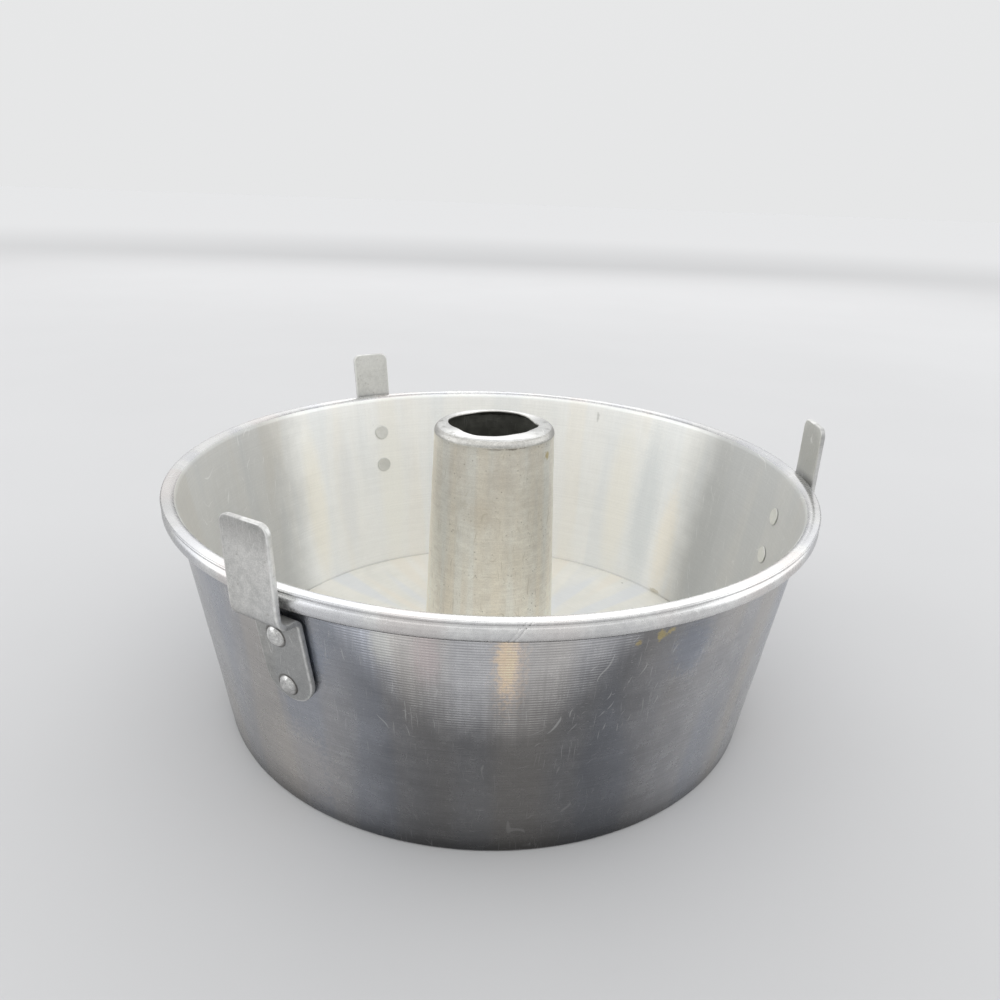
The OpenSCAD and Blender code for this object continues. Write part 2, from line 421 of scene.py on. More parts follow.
def tube_shape():
    """The tube is a little out of round and lumpy, swells at its shoulder, and has an uneven hole."""
    oval = waves((2, 3, 4), 0.20)
    lumps = waves((5, 7, 9), 0.08)
    swell_out, swell_drop, swell_reach = 0.28, 2.6, 1.5
    neck_in, neck_drop, neck_reach = 0.15, 6.2, 1.6
    lip_sink = 0.25
    flat_r = tube_top_r - shoulder_r

    def shape(theta, radius, height):
        free = np.clip((height - 8) / 20, 0, 1)
        near_lip = np.clip((height - (tube_h - 6)) / 4, 0, 1)
        radius = radius + free * (oval(theta) + lumps(theta + height * 0.05))
        front = 0.3 + 0.7 * np.clip(-np.sin(theta), 0, 1) ** 2
        swell = swell_out * hump(height, tube_h - swell_drop, swell_reach) * (radius > tube_top_r - 1.5)
        radius = radius + front * (swell - neck_in * hump(height, tube_h - neck_drop, neck_reach))
        inwards = np.clip((flat_r - radius) / (flat_r - tube_mouth_r), 0, 1) * near_lip
        radius = radius + inwards * (lip_radius(theta) - tube_mouth_r)
        height = height - inwards * lip_sink * (1 + np.cos(2 * theta + 0.7)) * 0.5 - near_lip * 0.05
        return radius, height

    return shape


tube = lathe("tube_looks", tube_profile(), turn_angles(256), tube_shape(), "insert", ["centre_tube"])

# The feet: a flat blank with a round lower end and round upper corners, bent along a path


def strip_path():
    """Middle line of a foot's strip from the plate's end to the tab's top: radius and height."""
    lean_deg = math.degrees(wall_ang)
    half = foot_t / 2
    off = (plate_gap + half) / math.cos(wall_ang)
    low_r = wall_r(shelf_z - bend_r) + (plate_gap + foot_t + bend_r) / math.cos(wall_ang)
    low = (low_r, shelf_z - bend_r)
    high = (tab_in_r - tab_bend_r, shelf_top_z + tab_bend_r)
    points = [(wall_r(plate_z) + off, plate_z)]
    points += arc(low, bend_r + half, 180 - lean_deg, 90, 10)
    points += arc(high, tab_bend_r + half, -90, 0, 10)
    points += [(tab_in_r + half, foot_top_z)]
    return np.array(points)


def along(path, distances):
    """Points and outward normals of a path at distances from its start."""
    straight_leg = 3
    legs = np.diff(path, axis=0)
    lengths = np.hypot(legs[:, 0], legs[:, 1])
    ends = np.concatenate([[0], np.cumsum(lengths)])
    leg = np.clip(np.searchsorted(ends, distances, side="right") - 1, 0, len(legs) - 1)
    share = (distances - ends[leg]) / lengths[leg]
    points = path[leg] + legs[leg] * share[:, None]
    normals = np.stack([legs[:, 1], -legs[:, 0]], 1) / lengths[:, None]
    knots = np.vstack([normals[:1], (normals[:-1] + normals[1:]) / 2, normals[-1:]])
    blend = knots[leg] * (1 - share[:, None]) + knots[leg + 1] * share[:, None]
    straight = lengths[leg] > straight_leg
    blend[straight] = normals[leg[straight]]
    return points, blend / np.hypot(blend[:, 0], blend[:, 1])[:, None]


def blank_depth(s, u, length):
    """Distance of a point of the flat blank from its outline."""
    half = foot_w / 2
    side = half - np.abs(s)
    low = np.where(u < half, half - np.hypot(s, u - half), side)
    top = length - u
    in_corner = (np.abs(s) > half - tab_corner_r) & (top < tab_corner_r)
    corner = tab_corner_r - np.hypot(np.abs(s) - (half - tab_corner_r), tab_corner_r - top)
    return np.clip(np.where(in_corner, corner, np.minimum(np.minimum(side, low), top)), 0, None)


def blank_half_width(u, length):
    """Half the width of the flat blank at a distance from its lower end."""
    half = foot_w / 2
    low = np.sqrt(np.clip(half**2 - np.clip(half - u, 0, half) ** 2, 0, None))
    drop = np.clip(tab_corner_r - (length - u), 0, tab_corner_r)
    top = half - tab_corner_r + np.sqrt(np.clip(tab_corner_r**2 - drop**2, 0, None))
    return np.minimum(low, top)


# Each foot was bent by hand: how far it stands to one side at four heights, from its plate's end to its
# tab's top, and how much lower than the tallest its tab ends
FOOT_ASIDE = ((0.0, 0.0, 0.0, 0.0), (0.0, 0.0, 0.0, 1.75), (2.35, 1.25, 0.35, -0.65))
FOOT_SHORT = (0.0, 0.0, 1.6)
foot_edge_r = 0.42
foot_bow = 0.6
tab_cup = 0.07
tab_bow_h = 30


def aside_at(index, z):
    """How far a foot stands to one side at height z."""
    return np.interp(z, (plate_z, shelf_z, shelf_top_z + 4, foot_top_z), FOOT_ASIDE[index])


def foot_grid(length):
    """Places of a foot's points: distances from its lower end and shares of its half width, as two grids."""
    rows = np.unique(np.round(np.concatenate([
        foot_w / 2 * (1 - np.cos(np.linspace(0, math.pi / 2, 13))),
        np.linspace(foot_w / 2, length - tab_corner_r, 90),
        length - tab_corner_r * (1 - np.sin(np.linspace(0, math.pi / 2, 14))),
        length - foot_edge_r * np.array([1.0, 0.7, 0.45, 0.25, 0.1, 0.0]),
    ]), 5))
    near_edge = np.array([0.0, 0.004, 0.012, 0.025, 0.044])
    columns = np.concatenate([-1 + near_edge, np.linspace(-0.9, 0.9, 19), 1 - near_edge[::-1]])
    return np.meshgrid(rows[rows > 0.02], columns, indexing="ij")


def foot_wear_and_highlight(depth, s):
    """How bright a foot's surface is painted, from 0 to 1, partly real wear and partly painted highlight:
    most on its arrises, and less on one side, where the light falls less.
    """
    arris = hump(depth, 0.30, 0.22) + 0.35 * hump(depth, 0, 0.10)
    return (np.clip(arris, 0, 1) * np.where(s < 0, 0.35, 1.0)).ravel()


def sheet_faces(high, wide):
    """Faces of a closed sheet made of two grids of points, with a band round their edges."""
    back = high * wide
    faces = []
    for i in range(high - 1):
        for j in range(wide - 1):
            a, d = i * wide + j, (i + 1) * wide + j
            faces.append((a, a + 1, d + 1, d))
            faces.append((back + d, back + d + 1, back + a + 1, back + a))
    band = [i * wide for i in range(high)] + [(high - 1) * wide + j for j in range(1, wide)]
    band += [i * wide + wide - 1 for i in range(high - 2, -1, -1)] + [j for j in range(wide - 2, 0, -1)]
    for a, b in zip(band, band[1:] + band[:1]):
        faces.append((a, b, back + b, back + a))
    return faces


def turn_to_foot(verts, index):
    """Points beside the axis at angle 0, turned to the place of a foot."""
    turn = math.radians(index * 120 + foot_turn[index])
    cos, sin = math.cos(turn), math.sin(turn)
    return verts @ np.array([[cos, -sin, 0], [sin, cos, 0], [0, 0, 1]]).T


def build_foot(index):
    """One cooling foot, with soft edges and slight bends of its own."""
    path = strip_path()
    path[-1, 1] -= FOOT_SHORT[index]
    length = float(np.hypot(*np.diff(path, axis=0).T).sum())
    u, share = foot_grid(length)
    s = share * blank_half_width(u, length)
    depth = blank_depth(s, u, length)
    fall = np.clip(foot_edge_r - depth, 0, foot_edge_r)
    thick = foot_t / 2 - foot_edge_r + np.sqrt(np.clip(foot_edge_r**2 - fall**2, 0, None))
    centre, normal = [part.reshape(u.shape + (2,)) for part in along(path, u.ravel())]
    waviness = waves((1, 2, 3), 0.10)
    tab = np.clip((u - (length - tab_bow_h)) / tab_bow_h, 0, 1)
    bow = foot_bow * waviness(u / length * 4 + s * 0.12) * (0.3 + tab)
    bow = bow - tab_cup * (s / foot_w * 2) ** 2 * tab
    sides = []
    for side in (1, -1):
        off = side * thick + bow
        radius = centre[..., 0] + off * normal[..., 0]
        height = centre[..., 1] + off * normal[..., 1]
        sides.append(np.stack([radius, s + aside_at(index, height), height], -1).reshape(-1, 3))
    verts = np.vstack(sides)
    verts[:, 2] = np.minimum(verts[:, 2], foot_top_z)
    verts[:, 0] = np.minimum(verts[:, 0], tab_in_r + foot_t)
    name = "cooling_foot_%d" % (index + 1)
    worn = np.tile(foot_wear_and_highlight(depth, s), 2)
    verts = turn_to_foot(verts, index)
    return mesh_object(name + "_looks", verts, sheet_faces(*u.shape), "ring", [name], worn)


feet = [build_foot(i) for i in range(3)]

# The rivets

# The third foot's rivets stand to one side, with its plate
RIVET_ASIDE = {"upper": 0.2, "lower": 1.3}


def rivet_aside(index, level):
    """How far a rivet stands to one side of its foot's middle line."""
    return RIVET_ASIDE[level] if index == 2 else 0.0


def rivet_profile():
    """Half section of a rivet from its flat tail to its domed head: distance from its axis and height."""
    tail_face = -ring_t - tail_gap
    tail_end = tail_face - tail_h
    dome_r = (head_r**2 + head_h**2) / (2 * head_h)
    dome_deg = math.degrees(math.asin(head_r / dome_r))
    tail_soft = 0.22
    soft = 0.12
    profile = np.array(join([
        [(0.0, tail_end + 0.10), (tail_r * 0.62, tail_end + 0.06)],
        arc((tail_r - tail_soft, tail_end + tail_soft), tail_soft, -90, 0, 4),
        [(tail_r - 0.05, tail_face), (shank_r, tail_face)],
        [(shank_r, head_seat)],
        arc((head_r - soft, head_seat + soft), soft, -90, 0, 3),
        arc((0, head_seat + head_h - dome_r), dome_r, 90 - dome_deg + 5, 90, 10),
    ], 1.0))
    profile[:, 0] = np.clip(profile[:, 0], 0, None)
    return profile


def build_rivet(index, level):
    """A rivet with a domed head outside, a shank, and a flat tail inside, a little uneven."""
    profile = rivet_profile()
    steps = 40
    squash = waves((2, 3), 0.10)
    tilt = rng.uniform(-0.05, 0.05)
    verts = []
    for k in range(steps):
        turn = 2 * math.pi * k / steps
        out = profile[:, 0] * (1 + squash(turn) * 0.4)
        up = profile[:, 1] + tilt * out * math.cos(turn) * (profile[:, 1] > head_seat + 0.3)
        verts.append(np.stack([up, out * math.cos(turn), out * math.sin(turn)], -1))
    cos, sin = math.cos(wall_ang), math.sin(wall_ang)
    verts = np.array(verts).reshape(-1, 3) @ np.array([[cos, 0, sin], [0, 1, 0], [-sin, 0, cos]]).T
    z = rivet_z[level]
    verts = turn_to_foot(verts + np.array([wall_r(z), rivet_aside(index, level), z]), index)
    name = "%s_rivet_%d" % (level, index + 1)
    faces = turned_faces(steps, len(profile), False)
    return mesh_object(name + "_looks", verts, faces, "ring", [name])


rivets = [build_rivet(i, level) for i in range(3) for level in rivet_z]


# Materials


class Nodes:
    """The nodes of a material or the world, with short calls that add one each and return its output."""

    def __init__(self, owner):
        owner.use_nodes = True
        self.tree = owner.node_tree

    def put(self, socket, value):
        """Links an output to a socket, or sets a plain value on it."""
        if isinstance(value, bpy.types.NodeSocket):
            self.tree.links.new(value, socket)
        elif isinstance(value, tuple) and len(value) == 3 and socket.type == "RGBA":
            socket.default_value = value + (1.0,)
        else:
            socket.default_value = value

    def node(self, kind, inputs, output=0, **settings):
        """Adds a node, sets and links its inputs by name or number, and returns one output."""
        new = self.tree.nodes.new(kind)
        for key, value in settings.items():
            setattr(new, key, value)
        for key, value in inputs.items():
            self.put(new.inputs[key], value)
        return new.outputs[output]

    def math(self, operation, a, b=0.0):
        return self.node("ShaderNodeMath", {0: a, 1: b}, operation=operation)

    def plus(self, a, b):
        return self.math("ADD", a, b)

    def minus(self, a, b):
        return self.math("SUBTRACT", a, b)

    def times(self, a, b):
        return self.math("MULTIPLY", a, b)

    def vector(self, operation, inputs, output=0):
        return self.node("ShaderNodeVectorMath", inputs, output, operation=operation)

    def noise(self, vector, scale, detail=3.0, rough=0.5):
        inputs = {"Vector": vector, "Scale": scale, "Detail": detail, "Roughness": rough}
        return self.node("ShaderNodeTexNoise", inputs)

    def span(self, value, low, high, to_low=0.0, to_high=1.0):
        """Maps one range of a value to another, with smooth ends, clamped."""
        inputs = {"Value": value, "From Min": low, "From Max": high, "To Min": to_low, "To Max": to_high}
        return self.node("ShaderNodeMapRange", inputs, interpolation_type="SMOOTHSTEP")

    def mix(self, share, a, b, blend="MIX"):
        inputs = {0: share, 6: a, 7: b}
        return self.node("ShaderNodeMix", inputs, 2, data_type="RGBA", blend_type=blend)

    def part(self, vector, index):
        return self.node("ShaderNodeSeparateXYZ", {0: vector}, index)


def far_from_axis(n, place):
    """Distance of a place from the axis, never under 1 mm."""
    x, y = n.part(place, 0), n.part(place, 1)
    return n.math("MAXIMUM", n.math("SQRT", n.plus(n.times(x, x), n.times(y, y))), 1 * MM)


# The noises whose peaks are scratches: how each is turned and how much it is squeezed along three axes
SCRATCH_GRIDS = (
    ((0.4, 0.9, 0.3), (70, 3200, 110)),
    ((1.2, 0.2, 1.1), (2800, 60, 90)),
    ((2.1, 1.4, 0.5), (90, 2600, 2900)),
)

# Tints of dirt, the third of them also painted shade in the rim's crease, and the share of a patch's reach
# over which it is full
PIT_DIRT = (0.24, 0.21, 0.17)
RING_DIRT = (0.12, 0.11, 0.10)
CREASE_DIRT_AND_SHADE = (0.10, 0.10, 0.10)
PATCH_CORE = 0.3


class SpunMetal(Nodes):
    """Worn aluminium in the making. colour, shade, relief and cuts are what it has so far; shade is a factor
    on the colour that holds the tone of the lines and grain together with painted light and shade.
    """

    def __init__(self, name, line_mm, line_depth_mm, fine, flat):
        """line_mm is the size of the fine lines round the axis. flat runs them by radius."""
        self.material = bpy.data.materials.new(name)
        super().__init__(self.material)
        self.place = self.node("ShaderNodeTexCoord", {}, 3)
        self.z = self.part(self.place, 2)
        self.far = far_from_axis(self, self.place)
        self.cx = self.math("DIVIDE", self.part(self.place, 0), self.far)
        self.cy = self.math("DIVIDE", self.part(self.place, 1), self.far)
        self.across = self.far if flat else self.z
        self.cloud = self.noise(self.place, 28.0, 4.0, 0.6)
        self.fine_cloud = self.noise(self.place, fine, 4.0, 0.65)
        step = self.times(self.across, 1 / (line_mm * MM))
        self.lines = self.noise(self.round_axis(3.0, step), 1.0, 3.0, 0.7)
        self.relief = self.times(self.lines, line_depth_mm * MM)

    def round_axis(self, turns, height):
        """A place for noise that changes with the direction from the axis and with a height."""
        inputs = {0: self.times(self.cx, turns), 1: self.times(self.cy, turns), 2: height}
        return self.node("ShaderNodeCombineXYZ", inputs)

    def lobe_about(self, about_deg):
        """1 on the two sides of the axis that an angle names, falling off round it as a cosine."""
        part_x = self.times(self.cx, math.cos(math.radians(about_deg)))
        part_y = self.times(self.cy, math.sin(math.radians(about_deg)))
        return self.math("ABSOLUTE", self.plus(part_x, part_y))

    def paint(self, share, tint):
        self.colour = self.mix(share, self.colour, tint)

    def dim(self, gain):
        self.shade = self.times(self.shade, gain)

    def raise_by(self, height):
        self.relief = self.plus(self.relief, height)

    def start(self, dark, light, line_shade):
        """A cloudy tone between two colours, and a shade that follows the lines."""
        tone = self.plus(self.times(self.cloud, 0.55), self.times(self.fine_cloud, 0.37))
        tone = self.plus(tone, self.times(self.lines, 0.08))
        self.colour = self.mix(self.span(tone, 0.38, 0.62), dark, light)
        self.shade = self.span(self.lines, 0.30, 0.70, 1.0 - line_shade, 1.0)

    def tint_and_reflection_bands(self, warm, cool, share, detail):
        """Two tints that come and go round the axis: partly the metal's own tint, partly painted reflection
        of the room.
        """
        broad = self.noise(self.round_axis(1.0, self.times(self.across, 1.2)), 4.2, detail, 0.5)
        self.paint(self.times(self.span(broad, 0.51, 0.60), share), warm)
        self.paint(self.times(self.span(broad, 0.49, 0.40), share), cool)

    def stain(self, at, size, strength, tint, tall, ragged):
        """One patch of another tint, for real discolouring and for painted light and shade. tall stretches
        it upright, ragged makes its edge uneven.
        """
        reach = size * MM
        from_at = self.vector("SUBTRACT", {0: self.place, 1: tuple(c * MM for c in at)})
        flat = self.vector("MULTIPLY", {0: from_at, 1: (1.0, 1.0, 1.0 / tall)})
        away = self.vector("LENGTH", {0: flat}, 1)
        uneven = self.times(self.minus(self.noise(self.place, 900.0, 4.0), 0.5), reach * ragged)
        inside = self.span(self.plus(away, uneven), reach * PATCH_CORE, reach, 1.0, 0.0)
        self.paint(self.times(inside, strength), tint)

    def speckle(self, speck):
        """The finest grain of the shade."""
        grains = self.noise(self.place, 2300.0, 2.0, 0.6)
        self.dim(self.span(grains, 0.30, 0.70, 1.0 - speck, 1.0 + speck))

    def light_and_shade_by_side(self, about_deg, low, high, gain):
        """Painted light and shade away from an angle, lighter where gain is above 0 and darker where it is
        below: none above high on its lobe, all of it below low.
        """
        cloudy = self.times(self.minus(self.cloud, 0.5), 0.15)
        lobe = self.plus(self.lobe_about(about_deg), cloudy)
        self.dim(self.span(lobe, low, high, 1.0 + gain, 1.0))

    def streaks(self):
        """Upright streaks, broad and narrow ones, from about -1 to 1."""
        wide = self.noise(self.round_axis(55.0, self.times(self.z, 9.0)), 1.0, 1.0)
        narrow = self.noise(self.round_axis(170.0, self.times(self.z, 25.0)), 1.0, 1.0)
        return self.minus(self.plus(wide, narrow), 1.0)

    def turned_share(self, streak, low, high, about_deg):
        """How much turning marks show: from one height to another, and most about an angle."""
        level = self.plus(self.z, self.times(self.minus(self.cloud, 0.5), 0.022))
        if about_deg is not None:
            level = self.plus(level, self.times(self.minus(self.lobe_about(about_deg), 1.0), 0.50))
        level = self.plus(level, self.times(streak, 0.004))
        return self.span(level, low * MM, high * MM)

    def turn_marks(self, low, high, pitch, about_deg, depth, contrast, gain, streaky):
        """Regular turning marks: how deep and dark they are, and how much painted reflection lightens the
        metal where they show.
        """
        slip = self.times(self.noise(self.round_axis(1.0, self.times(self.z, 20.0)), 2.5, 2.0), 4.0)
        wave = self.math("SINE", self.plus(self.times(self.z, 2 * math.pi / (pitch * MM)), slip))
        streak = self.streaks()
        shown = self.turned_share(streak, low, high, about_deg)
        # painted reflection: lighter where the turning marks show, in upright streaks
        gained = self.times(shown, self.plus(self.times(streak, streaky), gain))
        self.dim(self.plus(gained, 1.0))
        clear = self.times(self.span(shown, 0.0, 0.35), self.span(shown, 0.2, 1.0, 1.35, 0.8))
        wave = self.times(wave, self.times(clear, self.span(streak, -0.3, 0.2, 0.5, 1.0)))
        self.raise_by(self.times(wave, depth * MM))
        self.dim(self.plus(self.times(wave, contrast), 1.0))

    def cut(self, peak, low_strength, share, tint):
        """Thin scratches in three directions, where a noise is above peak, weaker low down."""
        shake = self.node("ShaderNodeTexNoise", {"Vector": self.place, "Scale": 45.0}, 1)
        bent = self.vector("MULTIPLY_ADD", {0: shake, 1: (0.006, 0.006, 0.006), 2: self.place})
        found = 0.0
        for turn, squeeze in SCRATCH_GRIDS:
            grid = self.node("ShaderNodeMapping", {"Vector": bent, "Rotation": turn, "Scale": squeeze})
            found = self.math("MAXIMUM", self.span(self.noise(grid, 1.0, 1.0), peak, peak + 0.07), found)
        self.cuts = self.times(found, self.span(self.z, 35 * MM, 62 * MM, low_strength, 1.0))
        self.paint(self.times(self.cuts, share), tint)

    def pit(self, strength):
        """Small dirty pits, in some places."""
        spots = self.node("ShaderNodeTexVoronoi", {"Vector": self.place, "Scale": 520.0}, 0)
        some = self.span(self.noise(self.place, 110.0, 3.0), 0.50, 0.60)
        holes = self.times(self.span(spots, 0.05, 0.25, 1.0, 0.0), some)
        self.paint(self.times(holes, strength), PIT_DIRT)
        self.raise_by(self.times(holes, -0.03 * MM))

    def dirt_round(self, at, radius, strength):
        """Dirt that has stayed at a distance from a place, as round a rivet's head."""
        away = self.vector("DISTANCE", {0: self.place, 1: tuple(c * MM for c in at)}, 1)
        band = self.math("ABSOLUTE", self.minus(away, radius * MM))
        self.paint(self.span(band, 0.0, 0.6 * MM, strength, 0.0), RING_DIRT)

    def dirt_and_shade_in_crease(self, at, reach_mm, strength):
        """A dark line along a circle round the axis, which a radius and a height name: dirt in the base's
        seam, and painted shade in the rim's crease.
        """
        out = self.minus(self.far, at[0] * MM)
        up = self.minus(self.z, at[1] * MM)
        away = self.math("SQRT", self.plus(self.times(out, out), self.times(up, up)))
        near = self.span(away, 0.3 * reach_mm * MM, reach_mm * MM, 1.0, 0.0)
        self.paint(self.times(near, strength), CREASE_DIRT_AND_SHADE)

    def wear_and_highlight_edges(self, tint, low_strength):
        """The bright metal of edges, partly real wear and partly painted highlight, weaker on what lies
        below the shelf.
        """
        worn = self.node("ShaderNodeAttribute", {}, 2, attribute_name="worn")
        patchy = self.span(self.noise(self.place, 500.0, 3.0), 0.30, 0.60, 0.45, 1.0)
        patchy = self.times(patchy, self.span(self.z, 82 * MM, 90 * MM, low_strength, 1.0))
        self.paint(self.times(worn, patchy), tint)

    def finish(self, rough, spread, metal, grain):
        """Hands what has been made to the shader."""
        self.raise_by(self.times(self.cuts, -0.006 * MM * grain))
        self.raise_by(self.times(self.noise(self.place, 1300.0, 2.0), 0.010 * MM * grain))
        ease = self.plus(self.times(self.minus(self.fine_cloud, 0.5), 0.20), rough)
        inputs = self.tree.nodes["Principled BSDF"].inputs
        self.put(inputs["Base Color"], self.colour)
        self.put(inputs["Metallic"], metal)
        self.put(inputs["Roughness"], self.plus(ease, self.times(self.cuts, -0.05)))
        self.put(inputs["Anisotropic"], spread)
        self.put(inputs["Tangent"], self.node("ShaderNodeTangent", {}, direction_type="RADIAL", axis="Z"))
        self.put(inputs["Normal"], self.node("ShaderNodeBump", {"Height": self.relief, "Distance": 1.0}))


def spun_metal(name, dark, light, rough, spread, line_mm, line_depth_mm, grain=1.0, pits=0.0, stains=(),
               turned=None, marks=None, bands=None, soft_bands=1.0, flat=False, line_shade=0.1,
               scratch_from=0.70, scratch=(0.35, (0.90, 0.90, 0.89)), fine=160.0, edge=None, rings=(),
               metal=1.0, speck=0.0, levels=(), sides=None, worn_low=1.0, creases=(), cut_low=1.0):
    """The material of one spun surface. grain is how strong its fine relief is.

    The rest is what SpunMetal's steps take: bands for tint_and_reflection_bands, sides for
    light_and_shade_by_side, turned and then marks for turn_marks, rings for dirt_round, creases for
    dirt_and_shade_in_crease, edge and worn_low for wear_and_highlight_edges, and scratch_from, cut_low and
    scratch for cut. levels are heights between which painted light and shade change the tone, each with its
    gain.
    """
    n = SpunMetal(name, line_mm, line_depth_mm, fine, flat)
    n.start(dark, light, line_shade)
    if bands is not None:
        n.tint_and_reflection_bands(*bands, soft_bands)
    for mark in stains:
        n.stain(*mark)
    if speck:
        n.speckle(speck)
    # painted light and shade by height: a gain above 1 lightens, below 1 darkens
    for low, high, gain in levels:
        n.dim(n.span(n.z, low * MM, high * MM, 1.0, gain))
    if sides is not None:
        n.light_and_shade_by_side(*sides)
    if turned is not None:
        n.turn_marks(*turned, *marks)
    grey = n.node("ShaderNodeCombineColor", {0: n.shade, 1: n.shade, 2: n.shade})
    n.colour = n.mix(1.0, n.colour, grey, "MULTIPLY")
    n.cut(scratch_from, cut_low, *scratch)
    if pits:
        n.pit(pits)
    for ring_of_dirt in rings:
        n.dirt_round(*ring_of_dirt)
    for crease in creases:
        n.dirt_and_shade_in_crease(*crease)
    if edge is not None:
        n.wear_and_highlight_edges(edge, worn_low)
    n.finish(rough, spread, metal, grain)
    return n.material


# Places that the metals' marks are at


def at_turn(turn_deg, radius, z):
    """Point at an angle round the axis, a radius and a height."""
    turn = math.radians(turn_deg)
    return (radius * math.cos(turn), radius * math.sin(turn), z)


def at_foot(index, radius, aside, z):
    """Point beside a foot's middle line, at a radius and a height."""
    return tuple(turn_to_foot(np.array([radius, aside, z]), index))


def rivet_rings(inside, radius, strength):
    """Rings of dirt round the six rivets: on the plates outside, or under their tails inside."""
    rings = []
    for index in range(3):
        for level, z in rivet_z.items():
            seat_r = wall_in_r(z) - 0.4 if inside else wall_r(z) + head_seat / math.cos(wall_ang)
            rings.append((at_foot(index, seat_r, rivet_aside(index, level), z), radius, strength))
    return rings


def stains_on(radius_at, rows):
    """Patches of another tint on a round surface, real discolouring and painted light and shade, of which
    radius_at gives the radius at a height.

    A row holds an angle, a height, the size, strength and tint, how tall it is for its width, and how
    ragged its edge is.
    """
    return [(at_turn(turn, radius_at(z), z), *look) for turn, z, *look in rows]


# The ring's metals

fleck = (0.46, 0.37, 0.14)
# Outside of the wall: its dark base colour is partly weathering and partly painted dark reflection of the
# room
outside_metal = spun_metal(
    "outside_metal", (0.176, 0.176, 0.182), (0.223, 0.223, 0.228), 0.26, 0.6, 0.45, 0.003,
    stains=stains_on(wall_r, (
        (-65.9, 85.6, 2.3, 0.6, fleck, 1.0, 2.6),
        (-64.6, 86.6, 1.6, 0.5, fleck, 0.8, 2.6),
        (-69.5, 84.6, 1.2, 0.45, (0.44, 0.34, 0.11), 1.0, 2.4),
        (-87.0, 80.0, 6.6, 0.35, (0.36, 0.28, 0.21), 4.0, 1.6),
        (-87.4, 80.0, 3.9, 0.60, (0.40, 0.31, 0.21), 4.6, 1.2),
        (-98.0, 82.0, 6.0, 0.45, (0.255, 0.215, 0.215), 2.6, 0.8),
        (-104.0, 84.0, 5.0, 0.45, (0.27, 0.27, 0.25), 2.2, 0.8),
        # painted dark bluish reflections at the upper left and right of the front
        (-116.0, 74.0, 10.0, 0.5, (0.145, 0.165, 0.205), 1.4, 1.0),
        (-60.0, 78.0, 11.0, 0.5, (0.15, 0.17, 0.21), 1.4, 1.0),
        # painted light on the lower left
        (-122.0, 22.0, 22.0, 0.45, (0.30, 0.28, 0.26), 1.2, 1.0),
        # painted shade at the upper left
        (-112.0, 84.0, 6.0, 0.5, (0.145, 0.155, 0.175), 1.6, 1.2),
    )),
    # painted reflection: the turning marks' zone and the sides away from the front lit up; tints in bands
    # partly painted reflection; painted shade toward the bottom
    turned=(46, 78, 0.95, -90.0), marks=(0.012, 0.26, 1.85, 0.28), sides=(-85.0, 0.85, 0.985, 1.25),
    bands=((0.231, 0.215, 0.195), (0.162, 0.175, 0.203), 0.5), scratch_from=0.69,
    scratch=(0.45, (0.60, 0.60, 0.59)), speck=0.05, levels=((20, 5, 0.74), (8, 1, 0.55)), cut_low=0.35,
)
rim_metal = spun_metal(
    "rim_metal", (0.63, 0.63, 0.63), (0.80, 0.80, 0.79), 0.27, 0.4, 0.5, 0.002, fine=420.0,
    # painted shade: darker at the sides, on the bead's underside and in the crease under the flat rim; tints
    # in bands partly painted reflection
    line_shade=0.06, bands=((0.70, 0.645, 0.62), (0.61, 0.62, 0.66), 0.5), grain=1.5, speck=0.03,
    sides=(-87.0, 0.30, 0.9, -0.40), levels=((bead_at[1] - 1.5, bead_at[1] - 2.3, 0.35),),
    creases=(((rim_r - groove_depth + 0.1, pan_h - ring_t - 0.1), 0.75, 0.8),),
)
base_seam = ((wall_in_r(base_top_z), base_top_z), 0.7, 0.12)
inside_metal = spun_metal(
    "inside_metal", (0.95, 0.95, 0.925), (0.99, 0.99, 0.965), 0.36, 0.6, 0.7, 0.002, line_shade=0.04,
    stains=stains_on(wall_in_r, (
        # upright patches of warm, cool and white tints: painted reflections of the room
        (142.5, 45, 9.0, 0.8, (0.99, 0.96, 0.87), 9.0, 0.3),
        (132.5, 45, 8.0, 0.5, (0.87, 0.89, 0.91), 9.0, 0.3),
        (119.0, 45, 11.0, 0.9, (0.99, 0.98, 0.92), 9.0, 0.3),
        (100.0, 45, 12.0, 0.7, (0.98, 0.98, 0.95), 9.0, 0.3),
        (72.0, 45, 9.0, 0.7, (0.97, 0.97, 0.95), 9.0, 0.3),
        (53.0, 45, 11.0, 0.9, (0.99, 0.97, 0.90), 9.0, 0.3),
        (44.5, 45, 11.0, 0.8, (0.80, 0.83, 0.84), 9.0, 0.5),
        (36.0, 30, 9.0, 0.8, (0.99, 0.94, 0.84), 6.0, 0.5),
        (24.0, 45, 14.0, 0.6, (0.78, 0.80, 0.80), 8.0, 0.3),
        (36.0, 3.0, 5.0, 0.45, (0.46, 0.40, 0.25), 0.3, 1.8),
        (62.0, 90, 1.1, 0.5, (0.45, 0.45, 0.43), 4.0, 1.2),
    )),
    # painted shade on the right side of the inside wall; tints in bands partly painted reflection
    turned=(20, 60, 1.6, None), marks=(0.0015, 0.010, 0.0, 0.05), sides=(90.0, 0.41, 0.62, -0.42),
    bands=((0.97, 0.92, 0.82), (0.84, 0.87, 0.89), 0.35), soft_bands=2.0, speck=0.03, metal=0.22,
    rings=rivet_rings(True, tail_r, 0.2), creases=(base_seam,),
)

# The insert's metals

base_metal = spun_metal(
    "base_metal", (0.84, 0.835, 0.79), (0.91, 0.90, 0.855), 0.32, 0.35, 0.8, 0.002, flat=True,
    # tints in bands partly painted reflection
    line_shade=0.03, creases=(base_seam,), bands=((0.90, 0.85, 0.76), (0.79, 0.82, 0.87), 0.6),
    soft_bands=2.0, metal=0.3, scratch_from=0.80,
)
